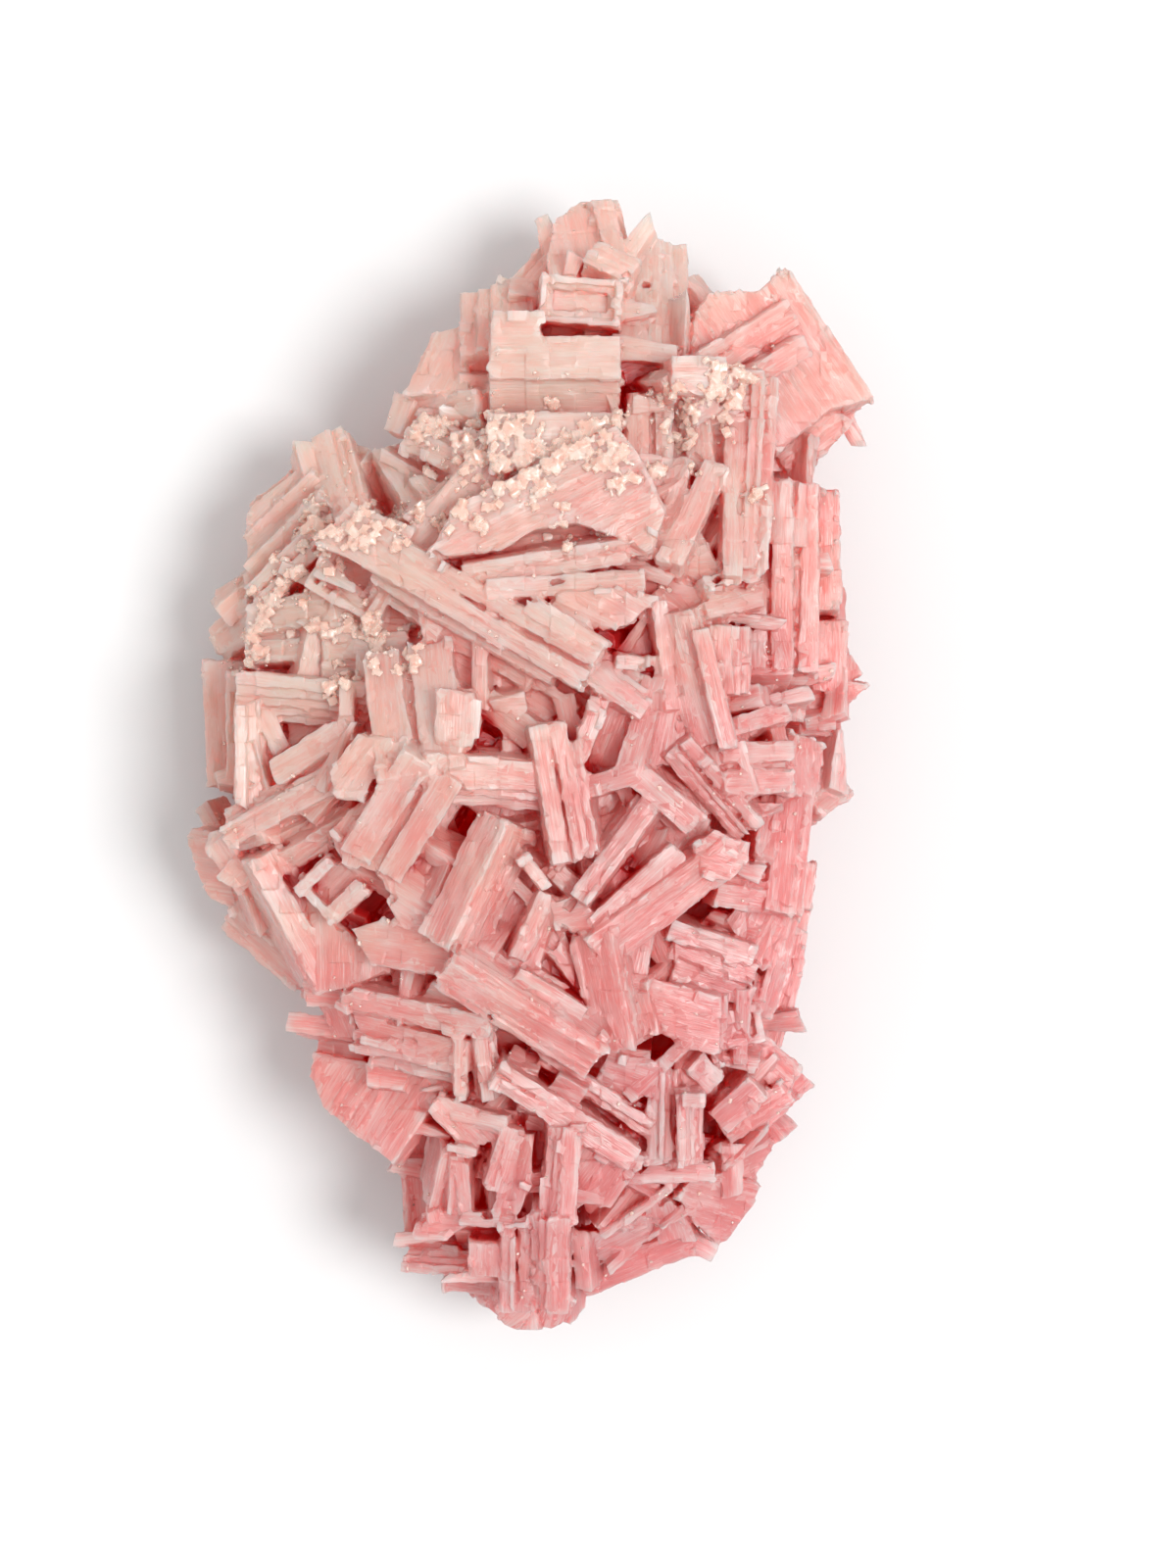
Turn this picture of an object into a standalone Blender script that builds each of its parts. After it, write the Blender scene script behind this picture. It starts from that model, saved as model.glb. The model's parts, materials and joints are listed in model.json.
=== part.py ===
"""Pink halite cluster: skeletal salt cubes, bars and plates grown together on a flat-cut base."""

import math
import random

import bmesh
import bpy
from mathutils import Vector

# Distances in the tables are millimetres, with x and y on the plan and z the height above the table.
MM = 0.001
SEED = 23
BASE_SINK = 1.0            # how far the core starts below the cut
CUT_MARGIN = 60.0          # half size of the block that cuts the base flat
JITTER_Z = 0.25            # random height given to each crystal
JITTER_TILT = math.radians(1.6)
LEDGE = 0.7                # drop of one growth ledge on a bar
LEDGE_SHARES = (0.1, 0.28) # where the ledges of a bar lie, in shares of its width from its middle
STAIR_SHARES = (0.34, 0.16, -0.04, -0.24)
GROOVE_DEPTH = 1.0         # depth of a skeletal groove
GROOVE_SHARES = (0.1, -0.02)
WELD = 0.00001             # metres
FLAT = math.radians(0.3)   # facets that meet more flatly than this are one facet
RIM_REACH = 1.2            # how far a flank crystal stands out of the core
PINK = (0.78, 0.36, 0.33, 1.0)

# Bars: x1, y1, z1, x2, y2, z2, width, depth, roll in degrees, profile.
# The two points are the ends of the middle line on plan, z is the height of the highest edge.
CREST = [
    (8.7, 72.4, 22, 11.3, 60.5, 33, 2.6, 8, 8, "plain"),
    (7.0, 63.5, 33, 12.5, 60.8, 34, 4.0, 6, 30, "plain"),
    (-0.8, 60.0, 26, 4.8, 66.4, 22, 4.8, 9, 4, "left"),
    (10.0, 70.2, 20, 11.6, 65.0, 26, 2.6, 7, 0, "plain"),
    (15.8, 67.2, 25, 15.8, 51.5, 32, 8.8, 15, 0, "left"),
    (-4.1, 61.2, 26, -4.0, 52.5, 33, 9.4, 13, 0, "right"),
    (-15.9, 44.4, 26, -6.8, 44.6, 34.5, 6.2, 13, -6, "right"),
    (15.0, 46.5, 35, 15.0, 37.5, 37, 6.0, 8, 4, "groove"),
]
SHOULDER = [
    (17.0, 47.6, 38.5, 33.0, 58.6, 30, 3.6, 9, -18, "groove"),
    (20.0, 45.0, 38, 34.5, 54.5, 30.5, 3.0, 9, -22, "plain"),
    (29.4, 40.0, 24, 36.6, 41.4, 22, 5.6, 14, 0, "plain"),
    (18.0, 48.0, 39.6, 24.8, 48.0, 38.4, 5.0, 9, 5, "plain"),
    (28.7, 49.0, 34, 27.2, 24.5, 38, 3.5, 15, 10, "groove"),
    (25.0, 47.0, 34, 24.4, 23.5, 40, 2.6, 11, 12, "plain"),
    (22.0, 44.0, 35, 22.6, 37.0, 37, 3.4, 9, -10, "plain"),
]
NORTH_WEST = [
    (-25.1, 43.4, 21, -21.4, 31.0, 31, 4.6, 10, -14, "left"),
    (-28.2, 39.0, 20, -24.5, 30.0, 29, 4.5, 9, 8, "plain"),
    (-19.9, 40.2, 24, -13.8, 29.8, 35, 3.2, 10, 16, "plain"),
    (-35.3, 32.0, 17, -28.7, 37.2, 19, 3.8, 9, 0, "plain"),
    (-36.2, 28.6, 21, -27.2, 36.6, 25, 3.6, 9, -10, "plain"),
    (-36.0, 24.6, 24, -26.0, 33.6, 29, 3.6, 9, -10, "plain"),
    (-35.0, 20.6, 25.5, -25.5, 29.0, 32, 3.8, 9, 5, "groove"),
    (-40.4, 19.6, 15, -34.5, 24.0, 22, 4.0, 9, 0, "plain"),
    (-40.7, 14.9, 16, -35.0, 18.8, 23, 5.0, 9, 6, "plain"),
    (-22.0, 29.2, 39, 8.0, 12.0, 45, 5.4, 12, -6, "groove"),
    (-19.0, 24.6, 36.5, 3.5, 11.4, 42.5, 3.6, 9, 0, "plain"),
    (-17.0, 21.4, 34, 0.5, 10.4, 40, 3.4, 9, 4, "plain"),
    (-15.0, 18.2, 31, -1.5, 9.8, 37.5, 3.2, 9, 6, "plain"),
    (-15.2, 36.2, 31, -9.8, 28.6, 37, 3.0, 8, 20, "plain"),
    (-11.8, 37.8, 30, -7.6, 29.6, 37, 3.0, 8, 0, "plain"),
    (-15.0, 43.2, 31, -2.4, 36.6, 38, 5.0, 9, -12, "left"),
    (-11.0, 11.8, 30.5, 3.2, 3.4, 38, 3.6, 9, 8, "plain"),
    (-36.4, 14.2, 26, -15.5, 15.2, 34, 5.0, 10, 10, "left"),
    (-36.0, 17.8, 25, -24.5, 20.0, 31.5, 4.2, 9, 6, "plain"),
]
CENTRE_NORTH = [
    (10.0, 36.4, 38, 17.6, 35.6, 37, 4.8, 9, 4, "plain"),
    (-8.0, 24.0, 42, 12.4, 27.2, 42.8, 3.2, 7, -15, "groove"),
    (-5.0, 21.2, 42.6, 14.6, 22.4, 42.2, 2.6, 7, 6, "plain"),
    (0.0, 19.8, 43.6, 9.2, 14.0, 45.2, 2.6, 7, 0, "plain"),
    (18.4, 25.2, 42, 19.6, 38.4, 37, 3.0, 9, 10, "plain"),
    (18.0, 25.0, 42, 24.0, 37.6, 37.5, 3.2, 9, 6, "plain"),
    (5.5, 12.5, 43, 14.6, 6.4, 43, 5.0, 9, 15, "left"),
    (15.6, 20.4, 41, 17.2, 6.5, 41, 2.0, 8, 10, "plain"),
    (11.0, 12.8, 41.5, 20.0, 12.0, 40, 1.8, 8, 0, "plain"),
]
EAST = [
    (30.2, 35.4, 34.6, 30.2, 12.0, 36.2, 6.4, 19, -3, "groove"),
    (34.8, 35.4, 32.4, 34.8, 11.6, 33.6, 3.8, 18, 0, "right"),
    (37.9, 34.8, 28.4, 37.8, 19.6, 29.4, 3.2, 16, 0, "plain"),
    (38.4, 18.4, 25, 38.4, 9.6, 25, 4.2, 13, 0, "plain"),
    (26.5, 9.0, 35.4, 35.4, 9.0, 30, 5.6, 12, -6, "right"),
    (39.0, 11.3, 19, 42.2, 13.2, 18, 3.0, 7, 0, "plain"),
    (34.6, 6.0, 24.5, 40.0, 6.0, 21, 4.6, 12, 0, "plain"),
    (22.5, 18.2, 40, 30.2, 20.0, 36, 2.6, 9, 15, "plain"),
    (22.5, 21.2, 40.3, 30.0, 23.2, 36.4, 2.4, 9, 15, "plain"),
    (24.8, 17.2, 41, 24.8, 8.8, 41, 5.6, 11, 0, "left"),
    (21.3, 16.6, 43.2, 24.8, 1.8, 43, 2.2, 8, 0, "plain"),
    (19.2, 19.0, 41.6, 23.2, 2.6, 41.4, 4.2, 10, -12, "plain"),
]
WEST = [
    (-20.4, 7.6, 36, -37.2, 9.0, 32, 6.0, 11, 4, "stairs"),
    (-34.4, 7.6, 32.2, -34.4, -5.0, 31.4, 5.6, 11, 2, "stairs"),
    (-31.4, 3.4, 27.4, -21.4, 2.6, 30, 6.0, 9, 0, "left"),
    (-39.8, 13.5, 17, -39.0, -2.6, 17, 5.4, 13, 0, "plain"),
    (-38.0, 12.0, 20, -37.8, -1.8, 20, 2.2, 10, 0, "plain"),
    (-31.6, -2.4, 34, -21.8, 3.2, 38, 3.2, 9, 20, "plain"),
    (-38.2, -9.4, 30.5, -23.4, -1.8, 38.5, 4.6, 10, 12, "left"),
    (-33.2, -11.2, 32.5, -22.6, -5.4, 36.5, 3.0, 9, -28, "plain"),
    (-38.4, -7.6, 24, -31.0, -4.6, 29, 4.0, 9, 0, "plain"),
    (-39.2, -10.0, 25.5, -33.6, -8.4, 33, 3.6, 9, 0, "plain"),
    (-34.0, -12.0, 34.5, -25.6, -28.6, 31, 5.4, 11, 12, "left"),
    (-31.0, -12.0, 32, -21.4, -26.8, 31, 4.0, 10, 22, "plain"),
    (-12.2, -0.2, 46, -20.0, -12.6, 40, 8.6, 12, 4, "groove"),
    (-12.5, -0.6, 45.8, 3.4, -2.0, 43.6, 6.4, 10, -12, "right"),
    (-12.4, -0.8, 45.6, -14.4, 15.0, 38.4, 11.0, 12, 6, "groove"),
    (-29.0, -16.2, 35.2, -24.6, -12.0, 36.4, 1.3, 6, 0, "plain"),
    (-28.6, -15.0, 35.4, -24.4, -19.4, 35, 1.3, 6, 0, "plain"),
    (-24.9, -19.2, 34.8, -20.7, -15.2, 36, 2.4, 6, 0, "plain"),
]
MIDDLE = [
    (1.8, 4.8, 44.8, 4.8, -12.2, 44, 4.6, 10, 8, "groove"),
    (5.4, 2.6, 43.8, 7.6, -11.4, 42.8, 4.0, 9, -12, "plain"),
    (-4.8, 8.2, 39.6, 1.6, 3.6, 41.6, 3.4, 9, -10, "plain"),
    (2.6, -12.8, 40.6, 5.8, -15.8, 40, 2.6, 7, 8, "plain"),
    (6.3, 0.4, 43.4, 9.1, 8.0, 43, 2.4, 8, 0, "plain"),
    (-12.6, -7.6, 39, -9.2, -15.6, 34, 5.4, 10, 8, "left"),
    (-2.3, -7.4, 45, -9.6, -23.0, 44, 5.0, 7, -38, "plain"),
    (-9.4, -24.2, 44.4, 9.4, -35.6, 43, 5.2, 7, -38, "plain"),
    (-0.6, -11.4, 44.6, 2.4, -15.4, 43.6, 1.2, 4, 0, "plain"),
    (1.8, -15.8, 41.5, -1.8, -24.0, 41, 2.2, 7, 12, "plain"),
    (3.2, -17.2, 40.6, 0.6, -25.4, 40, 2.3, 7, -6, "plain"),
    (-1.2, -25.8, 41.6, 7.2, -30.9, 41, 2.6, 7, -12, "plain"),
    (3.0, -22.8, 40, 8.2, -29.4, 39, 2.8, 7, 10, "plain"),
]
CENTRE_EAST = [
    (13.4, -1.0, 44, 16.4, 10.6, 41, 3.0, 9, 8, "plain"),
    (13.6, -1.0, 44, 7.0, -3.2, 43, 2.6, 9, 0, "plain"),
    (14.4, -1.0, 44, 21.6, -7.0, 41, 3.0, 9, -10, "plain"),
    (19.4, 2.6, 42.4, 28.8, -8.2, 37.6, 4.4, 10, -12, "groove"),
    (24.4, -0.7, 40, 33.4, -0.3, 35.6, 6.6, 11, 0, "groove"),
    (24.0, 3.4, 41, 33.0, 6.0, 36, 2.3, 9, 10, "plain"),
    (36.0, -4.3, 24, 40.2, -1.2, 20, 5.4, 11, -4, "plain"),
    (33.0, -2.5, 31.5, 31.2, -18.4, 34.5, 4.8, 14, 8, "plain"),
    (35.2, -12.4, 23, 34.4, -18.4, 23, 3.6, 12, 0, "plain"),
    (15.6, -5.4, 43, 6.8, -17.2, 43.4, 2.6, 8, -10, "plain"),
    (18.4, -10.4, 41, 8.0, -20.0, 42, 3.0, 8, 8, "plain"),
    (14.4, -4.4, 42, 7.8, -12.8, 41.8, 4.4, 9, 14, "left"),
    (24.6, -9.6, 40.8, 7.6, -22.2, 43, 5.4, 7, 32, "plain"),
    (9.4, -21.0, 42.6, 12.4, -35.6, 40.6, 5.4, 9, -20, "plain"),
    (24.0, -14.4, 36.4, 32.6, -15.8, 33, 5.0, 10, -12, "left"),
    (30.2, -3.4, 31, 28.8, -11.6, 34, 2.6, 10, 10, "plain"),
    (17.8, -20.2, 36.6, 28.6, -23.6, 34, 2.6, 9, -8, "plain"),
    (18.0, -22.8, 35.4, 28.6, -26.2, 33, 2.8, 9, -6, "plain"),
    (18.4, -25.4, 34.8, 28.4, -28.8, 32, 2.8, 9, -8, "plain"),
    (24.2, -29.0, 34, 23.8, -38.2, 31, 1.9, 9, 0, "plain"),
    (26.3, -28.4, 33, 26.0, -38.2, 30, 1.9, 9, 10, "plain"),
    (28.5, -27.0, 31, 28.0, -36.0, 28.6, 2.0, 10, -8, "plain"),
    (32.6, -18.8, 31.4, 28.9, -32.0, 29.4, 2.2, 12, 8, "plain"),
]
SOUTH_WEST = [
    (-23.4, -27.9, 33, -4.6, -31.2, 40, 2.6, 9, -18, "plain"),
    (-24.0, -30.0, 31.6, -6.0, -33.2, 39, 2.2, 9, 6, "plain"),
    (-22.2, -32.4, 31, -7.6, -35.4, 37.4, 4.4, 11, -14, "plain"),
    (-21.2, -34.7, 31.4, -9.0, -37.4, 36, 1.2, 8, 0, "plain"),
    (-20.2, -37.2, 29.6, -8.2, -39.6, 34.6, 1.4, 9, 0, "plain"),
    (-8.5, -33.6, 38, -8.3, -42.2, 35.4, 1.2, 9, 0, "plain"),
    (-6.2, -33.4, 38.6, -5.2, -42.4, 36, 3.0, 9, 10, "left"),
    (-11.6, -42.6, 34.4, -2.8, -45.0, 36.4, 3.4, 9, -8, "right"),
    (-14.1, -50.6, 20, -13.4, -61.6, 20, 5.0, 13, 0, "plain"),
    (-11.0, -48.8, 33.6, -13.0, -57.2, 29, 2.0, 9, 14, "plain"),
    (-9.6, -49.2, 34.4, -10.0, -56.8, 31, 1.8, 9, 8, "plain"),
    (-7.8, -50.0, 34.4, -7.4, -57.0, 32, 1.8, 9, -8, "plain"),
    (-10.2, -48.0, 35, -6.4, -48.6, 35.6, 0.9, 5, 0, "plain"),
    (-3.0, -45.4, 36.4, -5.6, -53.4, 34.4, 3.0, 9, 20, "plain"),
    (4.2, -45.4, 38, 3.3, -57.4, 36, 4.2, 12, 4, "right"),
    (2.9, -56.8, 36.6, 2.8, -69.6, 30, 4.8, 15, 0, "right"),
    (-8.6, -57.3, 32, 1.2, -57.5, 35, 1.8, 9, 0, "plain"),
    (-16.4, -63.1, 23, -7.6, -63.0, 28, 4.4, 14, 4, "stairs"),
    (-5.4, -60.4, 31.4, -5.4, -64.8, 30, 4.2, 13, 0, "plain"),
    (-1.7, -57.8, 33.6, -1.9, -69.6, 28, 3.7, 15, 0, "groove"),
    (-11.2, -66.3, 19, -5.0, -66.6, 22, 3.0, 13, 0, "plain"),
    (0.4, -35.4, 36.6, 15.4, -45.8, 34, 1.2, 8, 8, "plain"),
    (1.2, -37.2, 36, 15.6, -47.4, 33, 1.2, 8, 8, "plain"),
    (-3.6, -38.0, 38.6, 13.8, -49.0, 35.4, 3.4, 10, -10, "groove"),
    (-1.6, -40.6, 37, 10.8, -49.6, 34, 1.6, 8, 0, "plain"),
    (-1.2, -42.4, 36, 6.4, -44.4, 36, 2.6, 8, 10, "plain"),
]
SOUTH_EAST = [
    (12.9, -42.2, 34.4, 20.6, -34.8, 35.4, 1.6, 8, 10, "plain"),
    (12.4, -51.7, 31, 23.6, -51.7, 30, 2.4, 12, 0, "plain"),
    (20.3, -41.2, 35.4, 20.4, -50.8, 33.6, 3.2, 11, 0, "stairs"),
    (19.3, -42.0, 36.4, 22.1, -42.0, 36.4, 1.9, 6, 0, "plain"),
    (17.3, -38.6, 34.6, 17.1, -50.6, 32.4, 3.6, 11, -6, "left"),
    (9.2, -59.7, 28.4, 18.2, -53.4, 30, 0.9, 5, 0, "plain"),
    (6.4, -66.6, 17, 20.6, -60.8, 18, 3.6, 13, -8, "plain"),
    (23.4, -44.9, 30, 28.4, -40.4, 31, 3.8, 9, -10, "plain"),
    (20.4, -38.0, 33.6, 23.4, -41.0, 32, 3.0, 9, 8, "plain"),
    (24.2, -46.2, 26, 32.4, -40.6, 26.5, 3.4, 12, -12, "plain"),
    (27.6, -36.4, 28, 33.2, -41.4, 25, 4.4, 12, 10, "plain"),
    (24.6, -50.0, 25, 31.2, -46.8, 20, 3.2, 11, 0, "plain"),
]

# Slabs: outline on plan, height of the top at its middle, rise of the top per mm of x and of y, thickness.
SLABS = [
    # crest and shoulder
    ([(6.6, 72.4), (3.4, 69.8), (2.2, 64.5), (3.0, 60.5), (11.0, 60.5), (9.8, 72.5)], 25.0, 0.10, -0.90, 10),
    ([(-4.8, 48.0), (11.5, 48.0), (11.5, 53.3), (1.5, 53.3), (1.5, 56.4), (-4.4, 56.4)], 38.2, 0.02, -0.06, 13),
    ([(-4.8, 43.4), (11.5, 43.4), (11.5, 48.4), (-4.8, 48.4)], 36.0, 0.00, 0.62, 12),
    ([(20.2, 47.0), (29.0, 43.4), (31.4, 39.2), (38.2, 45.0), (43.8, 46.6), (32.7, 63.0),
      (29.2, 60.0), (22.8, 59.4), (20.8, 56.4)], 30.6, -0.26, -0.16, 15),
    ([(38.2, 45.6), (31.4, 39.6), (33.0, 37.2), (37.6, 39.4), (41.4, 44.0)], 24.0, -0.20, 0.10, 13),
    ([(19.0, 38.0), (27.2, 36.8), (27.2, 44.8), (20.0, 44.4)], 33.6, 0.00, -0.20, 10),
    ([(-12.4, 54.8), (-7.6, 55.8), (-7.6, 47.0), (-15.8, 46.8)], 29.0, 0.45, -0.50, 12),
    # north west
    ([(-26.6, 27.4), (-17.6, 23.8), (-13.8, 29.2), (-22.0, 32.4)], 38.4, 0.06, 0.00, 12),
    ([(-36.4, 22.4), (-26.0, 32.0), (-29.4, 38.0), (-36.2, 33.0)], 22.6, 0.45, -0.30, 10),
    ([(-9.2, 34.0), (-1.0, 34.8), (-1.8, 42.4), (-9.6, 41.6)], 36.0, 0.25, -0.15, 11),
    # centre north
    ([(-12.2, 25.4), (-4.0, 26.4), (0.0, 28.8), (6.0, 29.8), (10.6, 28.4), (15.2, 25.8), (17.0, 31.0),
      (14.0, 38.0), (11.0, 42.0), (3.0, 38.0), (-9.4, 31.6)], 42.0, 0.03, -0.09, 13),
    ([(-4.6, 36.0), (3.0, 37.6), (11.4, 42.0), (11.2, 43.8), (-4.9, 43.8)], 39.2, 0.02, -0.18, 12),
    ([(6.4, 0.8), (8.6, 8.6), (12.2, 11.2), (13.2, 0.4), (11.0, -1.2)], 40.0, 0.10, 0.10, 9),
    ([(15.6, 11.4), (20.0, 11.0), (20.4, 1.4), (15.0, -0.6)], 40.4, -0.10, 0.05, 9),
    ([(3.0, 19.6), (9.0, 16.4), (12.2, 17.0), (16.2, 20.6), (10.2, 21.6), (4.2, 21.2)], 43.2, 0.04, 0.05, 8),
    ([(11.0, 26.0), (15.4, 25.6), (14.0, 32.2), (11.4, 32.6)], 41.2, 0.10, -0.15, 9),
    # east
    ([(34.0, 7.0), (40.6, 7.4), (43.9, 10.3), (34.2, 11.8)], 23.0, -0.50, 0.10, 11),
    ([(32.8, -4.0), (37.0, -3.2), (37.2, 2.6), (33.0, 4.4)], 31.5, -0.90, 0.00, 14),
    ([(20.4, -10.0), (22.0, -14.2), (25.0, -14.4), (27.5, -12.0), (27.2, -9.8), (23.2, -8.3)], 40.4, -0.16, 0.05, 10),
    ([(12.4, -26.0), (15.0, -31.6), (18.8, -35.2), (24.0, -36.4), (24.2, -29.2)], 36.0, -0.15, 0.18, 11),
    ([(24.8, -19.6), (28.0, -24.2), (29.6, -26.2), (32.2, -21.0), (32.2, -17.4), (27.0, -17.3)], 31.8, -0.20, 0.05, 12),
    ([(29.0, -34.6), (32.2, -36.3), (33.6, -32.0), (35.0, -27.0), (35.8, -21.6), (33.0, -20.3), (29.4, -26.0)],
     21.5, -0.20, 0.00, 17),
    # west
    ([(-44.5, -9.8), (-42.8, -14.9), (-41.2, -17.4), (-38.4, -18.4), (-35.6, -17.0), (-36.0, -9.4), (-43.8, -8.2)],
     18.0, 0.40, 0.10, 12),
    ([(-39.7, -14.5), (-37.5, -15.8), (-35.0, -14.8), (-35.4, -12.1), (-37.0, -11.9)], 28.0, 0.35, 0.20, 6),
    ([(-40.3, -21.2), (-36.2, -24.6), (-32.0, -28.1), (-28.0, -29.8), (-27.6, -25.0), (-33.4, -14.2), (-38.4, -18.2)],
     20.5, 0.85, 0.50, 13),
    ([(-28.0, -15.2), (-27.0, -29.0), (-21.0, -27.4), (-17.0, -26.0), (-24.5, -19.4)], 32.2, 0.25, 0.10, 12),
    ([(-24.6, -1.0), (-23.8, -4.2), (-20.4, -4.6), (-16.6, 3.2), (-21.0, 3.7)], 42.0, 0.20, 0.05, 9),
    ([(-24.6, -8.8), (-23.0, -12.2), (-18.4, -13.6), (-14.2, -8.8), (-20.2, -4.2)], 38.8, 0.30, 0.20, 10),
    ([(-28.5, -14.8), (-24.5, -19.0), (-20.6, -15.2), (-24.8, -11.0)], 33.6, 0.20, 0.10, 9),
    ([(-17.8, -17.0), (-15.6, -20.6), (-11.4, -19.6), (-10.4, -15.4), (-14.6, -12.8)], 38.4, 0.20, -0.10, 9),
    ([(2.8, -16.6), (6.8, -16.2), (9.0, -20.0), (3.6, -21.4)], 41.2, 0.04, -0.06, 8),
    ([(-22.2, -20.6), (-19.6, -25.0), (-8.4, -26.6), (-9.0, -19.8), (-18.4, -19.4)], 38.0, 0.36, -0.05, 12),
    ([(-11.4, 2.6), (-6.8, 2.2), (-5.8, 5.0), (-6.6, 8.7), (-11.2, 9.2)], 45.0, 0.10, 0.08, 9),
    # south west
    ([(-26.7, -30.4), (-25.0, -34.4), (-21.8, -34.8), (-22.4, -29.4), (-24.6, -28.9)], 28.0, 1.00, 0.30, 11),
    ([(-26.8, -33.0), (-27.4, -38.0), (-21.0, -37.6), (-22.0, -33.6)], 23.0, 0.70, 0.00, 12),
    ([(-28.2, -39.6), (-26.4, -43.8), (-21.6, -47.4), (-18.5, -49.4), (-17.2, -50.7), (-9.9, -39.1),
      (-20.0, -38.0), (-27.6, -37.0)], 27.0, 0.55, -0.20, 5),
    ([(-12.6, -43.6), (-8.0, -48.2), (-3.0, -47.2), (-3.0, -44.4), (-11.6, -42.0)], 34.6, 0.10, 0.30, 9),
    ([(-4.6, -56.4), (-1.2, -56.4), (0.3, -52.6), (0.7, -46.4), (-0.8, -46.4), (-2.0, -49.6), (-4.0, -54.0)],
     34.0, 0.10, 0.10, 10),
    ([(-14.8, -60.2), (-11.0, -60.2), (-7.8, -58.2), (-7.0, -57.0), (-9.6, -56.0), (-13.6, -57.0)], 30.4, 0.35, 0.10, 5),
    ([(-4.6, -69.8), (-3.4, -72.0), (-2.0, -72.8), (-0.7, -72.4), (0.4, -70.4), (-0.4, -66.0)], 20.5, 0.00, 0.70, 13),
    ([(0.4, -70.8), (1.5, -72.4), (3.0, -72.9), (4.7, -71.8), (6.0, -69.0), (2.0, -66.0)], 19.5, 0.00, 0.70, 13),
    ([(-7.8, -68.0), (-4.4, -70.6), (-3.4, -64.0), (-7.8, -64.4)], 21.5, 0.80, 0.60, 13),
    ([(6.2, -45.6), (6.2, -53.0), (9.0, -56.0), (11.6, -54.0), (14.9, -49.3)], 33.4, 0.05, 0.25, 10),
    # south east
    ([(10.2, -35.8), (8.6, -39.6), (12.6, -42.2), (16.2, -41.0), (15.6, -37.4)], 34.0, 0.10, 0.20, 9),
    ([(6.7, -55.4), (9.3, -59.8), (18.2, -53.3), (12.4, -53.2)], 27.0, 0.12, 0.40, 9),
    ([(5.4, -60.6), (5.6, -66.6), (16.6, -60.4), (15.2, -56.6), (9.6, -60.0)], 21.0, 0.10, 0.70, 12),
    ([(5.2, -70.4), (7.0, -69.2), (10.8, -66.6), (21.2, -62.9), (22.2, -61.3), (20.8, -59.6), (12.0, -63.0), (5.2, -65.6)],
     14.5, 0.00, 0.60, 13),
    ([(15.0, -55.4), (17.0, -61.4), (21.6, -61.4), (20.6, -59.0), (17.6, -55.0)], 22.5, -0.05, 0.70, 13),
    ([(19.0, -55.0), (21.2, -58.6), (24.4, -61.9), (25.5, -61.5), (28.1, -57.6), (29.9, -54.2), (24.6, -52.4),
      (21.0, -52.6)], 22.5, -0.50, 0.45, 13),
    ([(24.0, -52.4), (28.6, -53.9), (30.8, -50.2), (32.7, -46.8), (31.4, -45.8), (24.0, -48.0)], 20.5, -0.60, 0.20, 12),
    ([(30.8, -46.4), (36.6, -41.1), (30.6, -35.7), (28.0, -35.2), (26.8, -37.0), (26.6, -43.6)], 23.5, -0.50, 0.00, 13),
]

# Square blocks with a stepped pit: middle x, y, z, size along, size across, heading in degrees,
# steps, width and drop of a step, rise of the top per mm along and across.
HOPPERS = [
    (6.6, 58.0, 35.6, 10.2, 5.8, -4, 2, 0.8, 0.9, -0.04, 0.04),
    (-22.2, 23.6, 34.4, 9.6, 8.2, -30, 3, 0.9, 1.0, 0.10, 0.30),
    (29.0, 26.0, 35.4, 4.6, 4.6, 0, 2, 0.7, 1.0, 0.00, 0.00),
    (27.2, -33.0, 31.0, 5.0, 5.0, 10, 1, 1.0, 1.0, -0.20, 0.00),
]
HOPPER_DEPTH = 9.0

# The massive middle of the cluster, in storeys that narrow upward: outline on plan, bottom and top.
CORE = [
    ([(6, 66), (0, 58), (-5, 57), (-10, 52), (-13, 44), (-19, 36), (-26, 37), (-33, 32), (-33, 24), (-37, 19),
      (-38, 11), (-37, -2), (-35, -6), (-39, -12), (-36, -18), (-33, -23), (-24, -27), (-23, -33), (-24, -41),
      (-17, -46), (-13, -52), (-13, -62), (-9, -65), (-4, -69), (4, -69), (8, -64), (19, -60), (24, -58),
      (27, -52), (27, -46), (31, -41), (29, -35), (31, -26), (33, -17), (33, -8), (37, -3), (34, 0), (38, 6),
      (36, 10), (36, 33), (34, 38), (38, 46), (31, 58), (27, 56), (17, 63)], -BASE_SINK, 13.0),
    ([(6, 60), (-4, 52), (-10, 44), (-18, 30), (-27, 28), (-31, 18), (-33, 8), (-31, 0), (-33, -9), (-30, -16),
      (-24, -24), (-18, -30), (-20, -38), (-12, -44), (-9, -52), (-7, -60), (5, -61), (18, -52), (26, -46),
      (26, -36), (28, -25), (29, -12), (31, 0), (33, 12), (33, 32), (30, 40), (33, 50), (24, 52), (16, 58)],
     10.0, 23.0),
    ([(2, 54), (-6, 46), (-10, 34), (-22, 28), (-26, 18), (-26, 4), (-28, -8), (-24, -18), (-16, -28), (-12, -38),
      (-6, -44), (-5, -58), (4, -58), (16, -48), (22, -46), (21, -34), (24, -26), (26, -10), (28, 4), (29, 14),
      (29, 32), (24, 42), (18, 50)], 20.0, 31.0),
    ([(-4, 42), (-16, 28), (-13, 16), (-17, 8), (-21, -2), (-20, -12), (-12, -23), (-4, -31), (8, -36), (14, -30),
      (16, -20), (22, -10), (25, 4), (25, 22), (18, 36), (8, 42)], 28.0, 37.5),
]

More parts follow.
